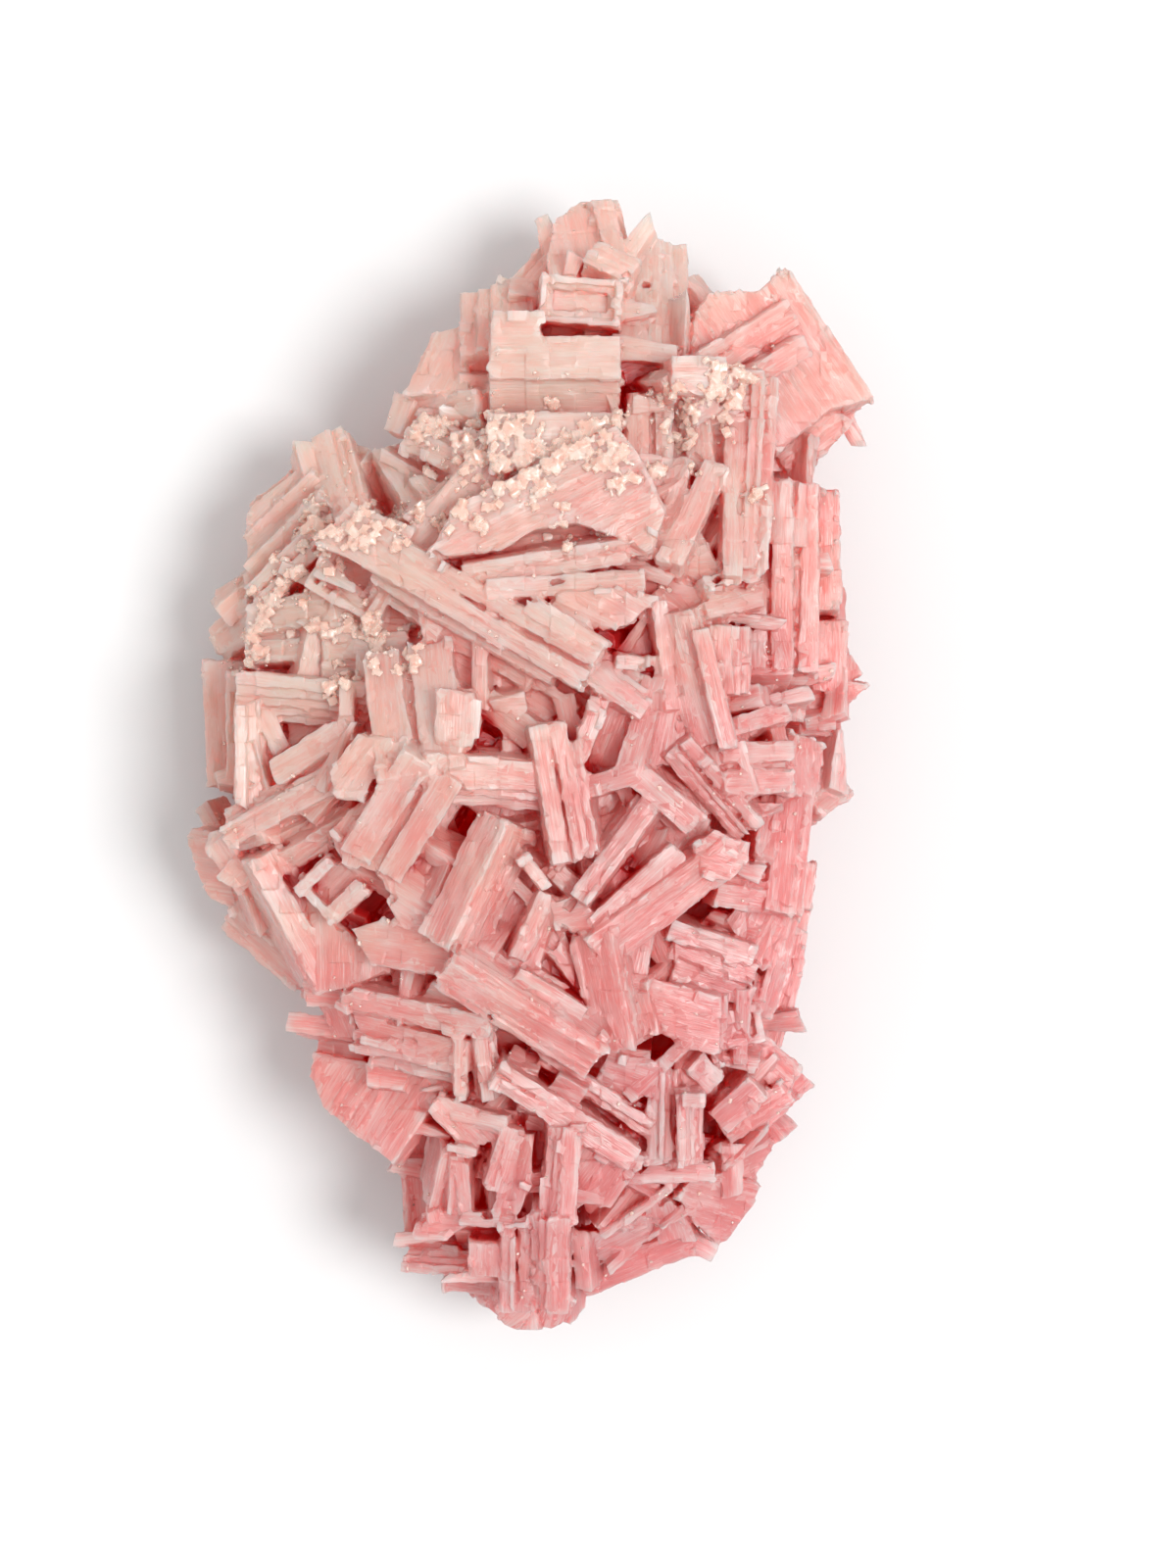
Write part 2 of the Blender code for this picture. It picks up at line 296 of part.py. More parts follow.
# Deep hollows between the crystals: middle on plan, length, width, heading, floor.
HOLLOWS = [
    (-7.4, -8.8, 5.6, 5.6, -35, 26), (22.6, -17.4, 8.0, 4.4, 33, 25), (16.4, -34.4, 4.6, 4.0, 45, 25),
    (10.4, 15.4, 4.6, 3.4, 0, 30), (17.4, 13.2, 3.0, 3.6, 0, 30), (-20.2, -18.0, 5.0, 4.4, 45, 27),
    (13.4, -13.4, 6.6, 1.8, 38, 30), (6.4, -26.8, 10.0, 1.8, -60, 30), (2.6, -36.0, 16.0, 2.6, -34, 28),
    (-4.0, 4.6, 4.0, 2.4, -30, 33), (-12.6, -49.4, 4.6, 4.6, 0, 16), (7.4, -58.4, 3.4, 4.6, 0, 19),
    (14.6, -43.6, 2.6, 3.0, 45, 24), (22.8, -45.6, 2.6, 4.0, 0, 20), (-27.8, -13.8, 2.6, 2.6, 40, 26),
    (0.0, 57.6, 3.0, 2.4, 0, 22), (12.6, 46.8, 2.4, 3.0, 0, 26), (-22.8, -35.6, 3.0, 2.4, 0, 20),
]
HOLLOW_TOP = 50.0
RIM_COUNT = 18
RIM_SIZE = (6.0, 11.0)
RIM_HEIGHT = (3.0, 13.0)   # of the middle of the crystal
RIM_TURN = 0.35
RIM_TILT = 0.3


def clear_scene():
    for obj in list(bpy.data.objects):
        bpy.data.objects.remove(obj, do_unlink=True)


def new_object(name, points, faces):
    """Mesh object from millimetre points, with its faces turned outward."""
    mesh = bpy.data.meshes.new(name)
    mesh.from_pydata([Vector(p) * MM for p in points], [], faces)
    body = bmesh.new()
    body.from_mesh(mesh)
    bmesh.ops.recalc_face_normals(body, faces=body.faces[:])
    body.to_mesh(mesh)
    body.free()
    obj = bpy.data.objects.new(name, mesh)
    bpy.context.scene.collection.objects.link(obj)
    return obj


def prism(name, lower, upper):
    """Closed body between two rings of points of the same length."""
    count = len(lower)
    faces = [tuple(range(count)), tuple(range(count, 2 * count))]
    for i in range(count):
        j = (i + 1) % count
        faces.append((i, j, count + j, count + i))
    return new_object(name, list(lower) + list(upper), faces)


def profile_points(kind, width, depth):
    """Cross-section of a bar, across then up from its top, as seen looking back along it."""
    half = width / 2
    base = [(-half, -depth), (half, -depth)]
    inner, outer = (share * width for share in LEDGE_SHARES)
    if kind == "left":
        top = [(half, -2 * LEDGE), (outer, -2 * LEDGE), (outer, -LEDGE), (inner, -LEDGE), (inner, 0), (-half, 0)]
    elif kind == "right":
        top = [(half, 0), (-inner, 0), (-inner, -LEDGE), (-outer, -LEDGE), (-outer, -2 * LEDGE), (-half, -2 * LEDGE)]
    elif kind == "groove":
        one, two = (share * width for share in GROOVE_SHARES)
        top = [(half, 0), (one, 0), (one, -GROOVE_DEPTH), (two, -GROOVE_DEPTH), (two, 0), (-half, 0)]
    elif kind == "stairs":
        steps = len(STAIR_SHARES)
        top = [(half, -steps * LEDGE)]
        for step, share in enumerate(STAIR_SHARES):
            top.append((share * width, -(steps - step) * LEDGE))
            top.append((share * width, -(steps - step - 1) * LEDGE))
        top.append((-half, 0))
    else:
        top = [(half, 0), (-half, 0)]
    return base + top


def bar(name, row, rng):
    """Long crystal: a profile carried along a straight line, rolled about that line."""
    x1, y1, z1, x2, y2, z2, width, depth, roll, kind = row
    start = Vector((x1, y1, z1 + rng.uniform(-JITTER_Z, JITTER_Z)))
    end = Vector((x2, y2, z2 + rng.uniform(-JITTER_Z, JITTER_Z)))
    along = (end - start).normalized()
    side = Vector((0, 0, 1)).cross(along).normalized()
    up = along.cross(side)
    turn = math.radians(roll) + rng.uniform(-JITTER_TILT, JITTER_TILT)
    rolled_side = side * math.cos(turn) - up * math.sin(turn)
    rolled_up = side * math.sin(turn) + up * math.cos(turn)
    section = [rolled_side * a + rolled_up * b for a, b in profile_points(kind, width, depth)]
    across = [p.dot(side) for p in section]
    heights = [p.dot(up) for p in section]
    shift = -side * (min(across) + max(across)) / 2 - up * max(heights)
    return prism(name, [start + p + shift for p in section], [end + p + shift for p in section])


def slab(name, row, rng):
    """Plate with a tilted flat top of any outline."""
    outline, height, rise_x, rise_y, thickness = row
    rise_x += rng.uniform(-JITTER_TILT, JITTER_TILT)
    rise_y += rng.uniform(-JITTER_TILT, JITTER_TILT)
    height += rng.uniform(-JITTER_Z, JITTER_Z)
    mid_x = sum(p[0] for p in outline) / len(outline)
    mid_y = sum(p[1] for p in outline) / len(outline)
    down = Vector((rise_x, rise_y, -1)).normalized() * thickness
    top = [Vector((x, y, height + rise_x * (x - mid_x) + rise_y * (y - mid_y))) for x, y in outline]
    # A steep plate would reach past its outline if it were cut square, so its sides lean half as much.
    down = Vector((down.x / 2, down.y / 2, down.z))
    return prism(name, [p + down for p in top], top)


def hopper(name, row, rng):
    """Square block whose top steps down to a pit."""
    x, y, z, along, across, heading, steps, step_width, drop, rise_a, rise_b = row
    angle = math.radians(heading)
    axis = Vector((math.cos(angle), math.sin(angle), rise_a)).normalized()
    side = Vector((-math.sin(angle), math.cos(angle), rise_b)).normalized()
    up = axis.cross(side).normalized()
    middle = Vector((x, y, z + rng.uniform(-JITTER_Z, JITTER_Z)))
    rings = [(0.0, -HOPPER_DEPTH), (0.0, 0.0)]
    for step in range(1, steps + 1):
        rings.append((step * step_width, -(step - 1) * drop))
        rings.append((step * step_width, -step * drop))
    points = []
    for inset, level in rings:
        a = along / 2 - inset
        b = across / 2 - inset
        for sign_a, sign_b in ((-1, -1), (1, -1), (1, 1), (-1, 1)):
            points.append(middle + axis * sign_a * a + side * sign_b * b + up * level)
    faces = [(0, 1, 2, 3)]
    for ring in range(len(rings) - 1):
        for i in range(4):
            j = (i + 1) % 4
            faces.append((4 * ring + i, 4 * ring + j, 4 * ring + 4 + j, 4 * ring + 4 + i))
    last = 4 * (len(rings) - 1)
    faces.append((last, last + 1, last + 2, last + 3))
    return new_object(name, points, faces)


def box(name, middle, size, turn, tilt_x, tilt_y):
    """Plain salt cube, turned about the vertical and then tilted."""
    long, wide, high = (s / 2 for s in size)
    points = []
    for sz in (-high, high):
        for sx, sy in ((-long, -wide), (long, -wide), (long, wide), (-long, wide)):
            x = sx * math.cos(turn) - sy * math.sin(turn)
            y = sx * math.sin(turn) + sy * math.cos(turn)
            points.append(Vector((x, y, sz + tilt_x * x + tilt_y * y)) + middle)
    return prism(name, points[:4], points[4:])


def hollow(row):
    """Square shaft that leaves a deep gap in the core."""
    x, y, long, wide, heading, floor = row
    middle = Vector((x, y, (HOLLOW_TOP + floor) / 2))
    return box("hollow", middle, (long, wide, HOLLOW_TOP - floor), math.radians(heading), 0, 0)


def rim_crystals(rng):
    """Cubes on the flank, below the crystals that overhang it."""
    outline = [Vector((x, y, 0)) for x, y in CORE[0][0]]
    lengths = [(outline[(i + 1) % len(outline)] - p).length for i, p in enumerate(outline)]
    pitch = sum(lengths) / RIM_COUNT
    found = []
    travelled = pitch / 2
    for i, start in enumerate(outline):
        end = outline[(i + 1) % len(outline)]
        along = (end - start).normalized()
        outward = Vector((along.y, -along.x, 0))
        while travelled < lengths[i]:
            size = (rng.uniform(*RIM_SIZE), rng.uniform(*RIM_SIZE), rng.uniform(*RIM_SIZE))
            spot = start + along * travelled
            spot += outward * (RIM_REACH - size[0] / 2)
            spot.z = rng.uniform(*RIM_HEIGHT)
            turn = math.atan2(outward.y, outward.x) + rng.uniform(-RIM_TURN, RIM_TURN)
            tilt_x, tilt_y = (rng.uniform(-RIM_TILT, RIM_TILT) for _ in range(2))
            found.append(box("rim", spot, size, turn, tilt_x, tilt_y))
            travelled += pitch
        travelled -= lengths[i]
    return found


def combine(target, cutters, operation):
    """Joins or cuts with every cutter at once, and leaves the result on the target."""
    group = bpy.data.collections.new("cutters")
    bpy.context.scene.collection.children.link(group)
    for cutter in cutters:
        bpy.context.scene.collection.objects.unlink(cutter)
        group.objects.link(cutter)
    modifier = target.modifiers.new("combine", "BOOLEAN")
    modifier.operand_type = "COLLECTION"
    modifier.collection = group
    modifier.operation = operation
    # With this many crossing crystals the exact solver leaves open edges, so the manifold one is used.
    modifier.solver = "MANIFOLD"
    bpy.context.view_layer.update()
    evaluated = target.evaluated_get(bpy.context.evaluated_depsgraph_get())
    mesh = bpy.data.meshes.new_from_object(evaluated)
    target.modifiers.clear()
    target.data = mesh
    for cutter in list(group.objects):
        bpy.data.objects.remove(cutter, do_unlink=True)
    bpy.data.collections.remove(group)


def shells(body):
    """The connected pieces of a bmesh, as lists of faces."""
    seen = set()
    found = []
    for face in body.faces:
        if face in seen:
            continue
        stack = [face]
        seen.add(face)
        piece = []
        while stack:
            current = stack.pop()
            piece.append(current)
            for edge in current.edges:
                for other in edge.link_faces:
                    if other not in seen:
                        seen.add(other)
                        stack.append(other)
        found.append(piece)
    return found


def keep_outer_shell(mesh):
    """Fills the sealed hollows that overlapping crystals leave, by dropping their walls."""
    body = bmesh.new()
    body.from_mesh(mesh)
    bmesh.ops.remove_doubles(body, verts=body.verts[:], dist=WELD)
    pieces = sorted(shells(body), key=lambda piece: sum(f.calc_area() for f in piece), reverse=True)
    spare = [face for piece in pieces[1:] for face in piece]
    if spare:
        bmesh.ops.delete(body, geom=spare, context="FACES")
    bmesh.ops.dissolve_degenerate(body, dist=WELD, edges=body.edges[:])
    bmesh.ops.dissolve_limit(body, angle_limit=FLAT, verts=body.verts[:], edges=body.edges[:])
    loose = [edge for edge in body.edges if not edge.link_faces]
    bmesh.ops.delete(body, geom=loose, context="EDGES")
    body.to_mesh(mesh)
    body.free()


def centre_on_plan(mesh):
    """Puts the middle of the bounding box over the origin and the cut on z = 0."""
    low = Vector([min(v.co[i] for v in mesh.vertices) for i in range(3)])
    high = Vector([max(v.co[i] for v in mesh.vertices) for i in range(3)])
    middle = (low + high) / 2
    shift = Vector((-middle.x, -middle.y, -low.z))
    for vertex in mesh.vertices:
        vertex.co += shift


def halite_material():
    material = bpy.data.materials.new("pink_halite")
    material.use_nodes = True
    shader = material.node_tree.nodes["Principled BSDF"]
    shader.inputs["Base Color"].default_value = PINK
    shader.inputs["Roughness"].default_value = 0.35
    shader.inputs["Metallic"].default_value = 0.0
    return material


def main():
    clear_scene()
    rng = random.Random(SEED)
    crystals = []
    for rows in (CREST, SHOULDER, NORTH_WEST, CENTRE_NORTH, EAST, WEST, MIDDLE, CENTRE_EAST, SOUTH_WEST, SOUTH_EAST):
        crystals += [bar("bar", row, rng) for row in rows]
    crystals += [slab("slab", row, rng) for row in SLABS]
    crystals += [hopper("hopper", row, rng) for row in HOPPERS]
    crystals += rim_crystals(rng)
    storeys = []
    for outline, bottom, top in CORE:
        storeys.append(prism("core", [(x, y, bottom) for x, y in outline], [(x, y, top) for x, y in outline]))
    cluster = storeys[0]
    cluster.name = "halite_cluster"
    cluster.data.name = "halite_cluster"
    combine(cluster, storeys[1:], "UNION")
    combine(cluster, [hollow(row) for row in HOLLOWS], "DIFFERENCE")
    combine(cluster, crystals, "UNION")
    under = box("under", Vector((0, 0, -CUT_MARGIN)), (4 * CUT_MARGIN, 4 * CUT_MARGIN, 2 * CUT_MARGIN), 0, 0, 0)
    combine(cluster, [under], "DIFFERENCE")
    keep_outer_shell(cluster.data)
    centre_on_plan(cluster.data)
    cluster.data.materials.clear()
    cluster.data.materials.append(halite_material())


main()
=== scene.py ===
import json
import math
import random

import bmesh
import bpy
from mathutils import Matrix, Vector
from mathutils.bvhtree import BVHTree
from mathutils.geometry import barycentric_transform

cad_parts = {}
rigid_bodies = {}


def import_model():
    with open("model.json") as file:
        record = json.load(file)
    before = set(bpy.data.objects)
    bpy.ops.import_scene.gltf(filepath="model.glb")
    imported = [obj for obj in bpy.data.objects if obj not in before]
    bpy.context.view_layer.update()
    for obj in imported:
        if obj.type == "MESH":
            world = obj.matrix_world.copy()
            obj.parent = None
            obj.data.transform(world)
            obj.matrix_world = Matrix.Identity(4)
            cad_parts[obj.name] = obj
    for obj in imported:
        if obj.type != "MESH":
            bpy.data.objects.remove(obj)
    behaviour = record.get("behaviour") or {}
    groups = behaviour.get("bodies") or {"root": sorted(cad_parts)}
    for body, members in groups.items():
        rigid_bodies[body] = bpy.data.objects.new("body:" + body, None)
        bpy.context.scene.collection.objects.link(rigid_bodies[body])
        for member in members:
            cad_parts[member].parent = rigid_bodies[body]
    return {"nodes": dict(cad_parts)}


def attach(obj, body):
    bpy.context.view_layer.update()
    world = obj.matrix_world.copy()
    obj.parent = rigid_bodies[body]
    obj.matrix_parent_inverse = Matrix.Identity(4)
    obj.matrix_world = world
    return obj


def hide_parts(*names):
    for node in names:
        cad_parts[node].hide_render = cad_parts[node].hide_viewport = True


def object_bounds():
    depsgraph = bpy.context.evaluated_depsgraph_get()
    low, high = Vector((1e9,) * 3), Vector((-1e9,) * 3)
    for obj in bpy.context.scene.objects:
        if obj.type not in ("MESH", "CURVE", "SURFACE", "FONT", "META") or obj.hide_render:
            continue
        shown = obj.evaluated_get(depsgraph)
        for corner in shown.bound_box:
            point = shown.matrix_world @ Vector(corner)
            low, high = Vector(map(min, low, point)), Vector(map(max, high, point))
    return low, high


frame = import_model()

cad_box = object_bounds()
MM = 0.001


# The cluster: rose-coloured rock salt, cubes, bars and plates that grew through one another. Small bars
# fill the gaps between them, the ends are splintered, and the edges are chipped and cracked.
FILL_GAP = 5.0                 # distances of this section are millimetres
FILL_SPACING = 4.2
FILL_WIDTH = (1.4, 3.4)
FILL_LENGTH = (4.0, 9.0)
FILL_ROOT = 2.5
WALL_RISE = 1.2
WALLS_NEEDED = 5               # of the eight sides of a gap
PIT_RADIUS = 2.4
TOOTH_AREA = 22
TOOTH_OUT = (0.05, 0.28)
TOOTH_ROOT = 1.4
SEAM_CUBE = (0.4, 1.4)
SEAM_SPACING = 11.0
CHIP_SPACING = 3.2
CHIP_SIZE = (0.6, 4.5)
CHIP_WIDTH = (0.7, 1.5)
CHIP_DEPTH = 1.4
CHIP_LIFT = (0.45, 0.95)
CRACK_WIDTH = (0.12, 0.3)
CRACK_DEPTH = (0.8, 1.8)
CRACKS_PER_AREA = 0.006
UV_TILE = 10.0
LEDGE_PITCH = 0.95
LEDGE_RISE = (0.06, 0.26)
LEDGE_ROOT = 0.6
LEDGE_OVERHANG = 0.12
LEDGE_SKIPPED = 0.34
VOXEL = 0.20
TRIANGLES = 194000
OPEN_PITS = (                  # x and y of the clefts that no bar fills and that get deeper painted shade
    (-7.5, -8.8), (22.6, -17.4), (16.4, -34.4), (10.4, 15.4), (17.4, 13.2), (-20, -18), (13.4, -13.4),
    (6.4, -26.8), (2.6, -36), (-4, 4.6), (-12.6, -49.4), (7.4, -58.4), (14.6, -43.6), (22.8, -45.6),
    (-27.8, -13.8), (0, 57.6), (12.5, 47), (-22.8, -35.6), (-15, -12), (28, 25.5), (4, -33), (6.3, 0.5),
    (-1.5, -48.5), (-8, -59), (-2.5, -61),
)
growth = random.Random(7)
cluster_cad = frame["nodes"]["halite_cluster"]
solid = bmesh.new()
solid.from_mesh(cluster_cad.data)
bmesh.ops.remove_doubles(solid, verts=solid.verts[:], dist=0.00001)
bmesh.ops.dissolve_limit(solid, angle_limit=math.radians(0.4), verts=solid.verts[:], edges=solid.edges[:])
solid.normal_update()
solid.faces.ensure_lookup_table()
facets = BVHTree.FromBMesh(solid)


def facet_axes(face):
    """Direction along a crystal face, taken from its longest edge, the one across it and its normal."""
    longest = max(face.edges, key=lambda edge: edge.calc_length())
    up = face.normal.copy()
    along = longest.verts[1].co - longest.verts[0].co
    along = (along - up * along.dot(up)).normalized()
    return along, up.cross(along), up


def lay_grain(bm, faces, middle, along, side):
    """Runs the grain of the salt along some faces; every crystal gets a tile of the map to itself."""
    grain = bm.loops.layers.uv.verify()
    tile = UV_TILE * growth.randint(1, 60)
    up = along.cross(side)
    for face in faces:
        first, second = along, side
        if abs(face.normal.dot(side)) > 0.7:
            second = up
        elif abs(face.normal.dot(along)) > 0.7:
            first, second = side, up
        for loop in face.loops:
            place = (loop.vert.co - middle) * 100
            loop[grain].uv = (place.dot(first), place.dot(second) + tile)


def add_block(target, middle, along, up, size, uneven=0.10, taper=0.0):
    """A block of salt with its corners a little out of true; taper narrows one of its ends."""
    side = up.cross(along)
    corners = bmesh.ops.create_cube(target, size=1.0)["verts"]
    for corner in corners:
        place = corner.co + Vector([growth.uniform(-uneven, uneven) for _ in range(3)])
        narrow = 1.0 - taper * (corner.co.x + 0.5)
        corner.co = middle + (along * place.x * size[0] + side * place.y * narrow * size[1]
                              + up * place.z * size[2]) * MM
    faces = {face for corner in corners for face in corner.link_faces}
    for face in faces:
        face.normal_update()
    lay_grain(target, faces, middle, along, side)


def room_in(pile):
    """The part of a pile that still takes blocks; small parts keep the adding quick."""
    if not pile or len(pile[-1].faces) > 900:
        pile.append(bmesh.new())
    return pile[-1]


def gathered(pile):
    """All parts of a pile in one."""
    whole = bmesh.new()
    for part in pile:
        part_mesh = bpy.data.meshes.new("part")
        part.to_mesh(part_mesh)
        part.free()
        whole.from_mesh(part_mesh)
        bpy.data.meshes.remove(part_mesh)
    return whole


def place_block(layers, middle, along, up, size, uneven=0.10, taper=0.0):
    """Adds a block to the first layer in which nothing lies near enough to touch it."""
    radius = 0.62 * Vector(size).length * MM
    for layer, taken in layers:
        if all((middle - other).length > radius + reach for other, reach in taken):
            break
    else:
        layer, taken = bmesh.new(), []
        layers.append((layer, taken))
    taken.append((middle, radius))
    add_block(layer, middle, along, up, size, uneven, taper)


def runs_across(corners, level):
    """Where a line across a flat outline at one height enters and leaves it."""
    crossings = []
    for (u1, v1), (u2, v2) in zip(corners, corners[1:] + corners[:1]):
        if (v1 > level) != (v2 > level):
            crossings.append(u1 + (level - v1) * (u2 - u1) / (v2 - v1))
    crossings.sort()
    return list(zip(crossings[::2], crossings[1::2]))


def tilted(direction, most):
    """A direction turned a little out of true."""
    return (direction + Vector([growth.uniform(-most, most) for _ in range(3)])).normalized()


def flat_outline(face, along, side):
    """Corners of a face in millimetres along and across it, from its first corner."""
    anchor = face.verts[0].co
    return anchor, [((v.co - anchor).dot(along) / MM, (v.co - anchor).dot(side) / MM) for v in face.verts]


grown, broken = [], []
working_faces = [face for face in solid.faces if face.calc_area() > 1.2 * MM ** 2 and face.normal.z > -0.5
                 and face.calc_center_median().z > 0.5 * MM]
for face in working_faces:
    area = face.calc_area() / MM ** 2
    along, side, up = facet_axes(face)
    anchor, corners = flat_outline(face, along, side)
    low, high = min(v for _, v in corners), max(v for _, v in corners)
    length = max(u for u, _ in corners) - min(u for u, _ in corners)
    if area < 70 and high - low > 0.5 * length and up.z < 0.75:
        for _ in range(int(area / TOOTH_AREA + growth.random())):
            level = growth.uniform(low, high)
            for enter, leave in runs_across(corners, level):
                spot = anchor + (along * growth.uniform(enter, leave) + side * level) * MM
                out = growth.uniform(*TOOTH_OUT)
                size = (out + TOOTH_ROOT, growth.uniform(0.9, 3.0), growth.uniform(0.5, 1.2))
                middle = spot + up * (out - TOOTH_ROOT) / 2 * MM
                add_block(room_in(grown), middle, tilted(up, 0.08), along, size, 0.12, growth.uniform(0, 0.4))
    for _ in range(int(area * CRACKS_PER_AREA + growth.random())):
        level = growth.uniform(low, high)
        for enter, leave in runs_across(corners, level)[:1]:
            reach = leave - enter
            if reach < 3:
                continue
            share = growth.uniform(0.25, 0.8)
            size = (reach * share, growth.uniform(*CRACK_WIDTH), growth.uniform(*CRACK_DEPTH))
            start = growth.uniform(enter + size[0] / 2, leave - size[0] / 2)
            heading = (along + side * growth.gauss(0, 0.03)).normalized()
            place_block(broken, anchor + (along * start + side * level) * MM, heading, tilted(up, 0.3), size)

# Chips are broken out of the sharp edges, and small cubes sit in the seams.
for edge in solid.edges:
    length = edge.calc_length() / MM
    if length < 1.2 or len(edge.link_faces) != 2 or edge.verts[0].co.z + edge.verts[1].co.z < 3 * MM:
        continue
    along = (edge.verts[1].co - edge.verts[0].co).normalized()
    up = (edge.link_faces[0].normal + edge.link_faces[1].normal).normalized()
    bend = edge.calc_face_angle_signed(0.0)
    if bend > 0.5:
        for _ in range(int(length / CHIP_SPACING + growth.random())):
            spot = edge.verts[0].co.lerp(edge.verts[1].co, growth.random())
            size = (growth.uniform(*CHIP_SIZE), growth.uniform(*CHIP_WIDTH), CHIP_DEPTH)
            spot += up * growth.uniform(*CHIP_LIFT) * MM
            place_block(broken, spot, tilted(along, 0.15), up, size, 0.14)
    elif bend < -0.5:
        for _ in range(int(length / SEAM_SPACING + growth.random() * 0.8)):
            spot = edge.verts[0].co.lerp(edge.verts[1].co, growth.random())
            one = growth.uniform(*SEAM_CUBE)
            size = (one * growth.uniform(0.8, 2.4), one, one * growth.uniform(0.6, 1.2))
            add_block(room_in(grown), spot, tilted(along, 0.3), edge.link_faces[0].normal.copy(), size, 0.12)

# Between high walls the floor is filled with small bars, except in the open pits.
heights = {}
ground_face = {}
columns = int((cad_box[1][0] - cad_box[0][0]) / MM)
rows = int((cad_box[1][1] - cad_box[0][1]) / MM)
for column in range(columns):
    for row in range(rows):
        above = Vector((cad_box[0][0] + column * MM, cad_box[0][1] + row * MM, 0.1))
        hit = facets.ray_cast(above, Vector((0, 0, -1)))
        heights[column, row] = hit[0].z / MM if hit[0] else 0.0
        ground_face[column, row] = hit[2]
compass = [(round(math.cos(a) * r), round(math.sin(a) * r)) for a in
           [math.pi * k / 4 for k in range(8)] for r in (2, 3, 4)]
cells = [cell for cell in heights if heights[cell] > 4]
growth.shuffle(cells)
filled = []
for column, row in cells:
    ground = heights[column, row]
    around = [heights.get((column + x, row + y), 0) for x, y in compass]
    walls = [max(around[3 * k:3 * k + 3]) for k in range(8)]
    gap = max(walls) - ground
    x = cad_box[0][0] / MM + column
    y = cad_box[0][1] / MM + row
    if gap < FILL_GAP or sum(wall > ground + WALL_RISE for wall in walls) < WALLS_NEEDED:
        continue
    if any(math.hypot(x - px, y - py) < PIT_RADIUS for px, py in OPEN_PITS):
        continue
    if any(math.hypot(x - fx, y - fy) < FILL_SPACING for fx, fy in filled):
        continue
    filled.append((x, y))
    highest = max(compass, key=lambda step: heights.get((column + step[0], row + step[1]), 0))
    beside = facet_axes(solid.faces[ground_face[column + highest[0], row + highest[1]]])
    along = beside[growth.choice((0, 0, 1))]
    along = tilted(Vector((along.x, along.y, along.z * 0.5)).normalized(), 0.15)
    up = tilted(Vector((0, 0, 1)), 0.55)
    up = (up - along * up.dot(along)).normalized()
    top = ground + min(gap, 9) * growth.uniform(0.15, 0.42)
    size = (growth.uniform(*FILL_LENGTH), growth.uniform(*FILL_WIDTH), top - ground + FILL_ROOT)
    middle = Vector((x, y, (top + ground - FILL_ROOT) / 2)) * MM
    add_block(room_in(grown), middle, along, up, size, 0.12, growth.uniform(0, 0.75))

# Salt grows in layers, so long low steps run along every face.
for face in working_faces:
    along, side, up = facet_axes(face)
    anchor, corners = flat_outline(face, along, side)
    low, high = min(v for _, v in corners), max(v for _, v in corners)
    pitch = LEDGE_PITCH * growth.uniform(0.6, 1.7)
    level = low + growth.uniform(0.1, 0.6) * pitch
    while level < high - 0.05:
        for enter, leave in runs_across(corners, level):
            reach = leave - enter
            if reach < 0.6 or growth.random() < LEDGE_SKIPPED:
                continue
            first = max(enter - LEDGE_OVERHANG, enter + growth.uniform(-0.12, 0.25) * min(reach, 5))
            last = min(leave + LEDGE_OVERHANG, leave - growth.uniform(-0.12, 0.30) * min(reach, 5))
            if growth.random() < 0.5:
                part = (last - first) * growth.uniform(0.2, 0.75)
                if growth.random() < 0.5:
                    last = first + part
                else:
                    first = last - part
            if last - first < 0.4:
                continue
            rise = LEDGE_RISE[0] + (LEDGE_RISE[1] - LEDGE_RISE[0]) * growth.random() ** 2
            rise *= min(1.0, 0.3 + (high - low) / 8)
            middle = anchor + (along * (first + last) / 2 + side * level + up * (rise - LEDGE_ROOT) / 2) * MM
            size = (last - first, pitch * growth.uniform(0.25, 1.15), rise + LEDGE_ROOT)
            heading = (along + side * growth.gauss(0, 0.03)).normalized()
            add_block(room_in(grown), middle, heading, up, size, 0.05, growth.choice((0, 0, 0.4, 0.85)))
        level += pitch * growth.uniform(0.4, 1.4)

for face in solid.faces:
    along, side, up = facet_axes(face)
    lay_grain(solid, [face], face.calc_center_median(), along, side)
shell = solid.copy()
bmesh.ops.triangulate(shell, faces=shell.faces[:])
cluster_mesh = bpy.data.meshes.new("salt_crystals")
shell.to_mesh(cluster_mesh)
shell.free()
cluster = bpy.data.objects.new("salt_crystals", cluster_mesh)
bpy.context.scene.collection.objects.link(cluster)


def shaped(piece, kind, **settings):
    """Runs one modifier on a piece and keeps what it makes."""
    step = piece.modifiers.new("step", kind)
    for key, value in settings.items():
        setattr(step, key, value)
    bpy.context.view_layer.update()
    done = bpy.data.meshes.new_from_object(piece.evaluated_get(bpy.context.evaluated_depsgraph_get()))
    piece.modifiers.clear()
    piece.data = done


def break_out(piece, layers):
    """Breaks layers of blocks out of a piece."""
    blocks = bpy.data.collections.new("blocks")
    bpy.context.scene.collection.children.link(blocks)
    for layer, _ in layers:
        layer_mesh = bpy.data.meshes.new("blocks")
        layer.to_mesh(layer_mesh)
        layer.free()
        blocks.objects.link(bpy.data.objects.new("blocks", layer_mesh))
    shaped(piece, "BOOLEAN", operand_type="COLLECTION", collection=blocks, operation="DIFFERENCE",
           solver="MANIFOLD")
    for block in list(blocks.objects):
        bpy.data.objects.remove(block, do_unlink=True)
    bpy.data.collections.remove(blocks)


break_out(cluster, broken)
grown = gathered(grown)
grown.from_mesh(cluster.data)
grown.to_mesh(cluster.data)
bmesh.ops.triangulate(grown, faces=grown.faces[:])
grown.faces.ensure_lookup_table()
grains = BVHTree.FromBMesh(grown)

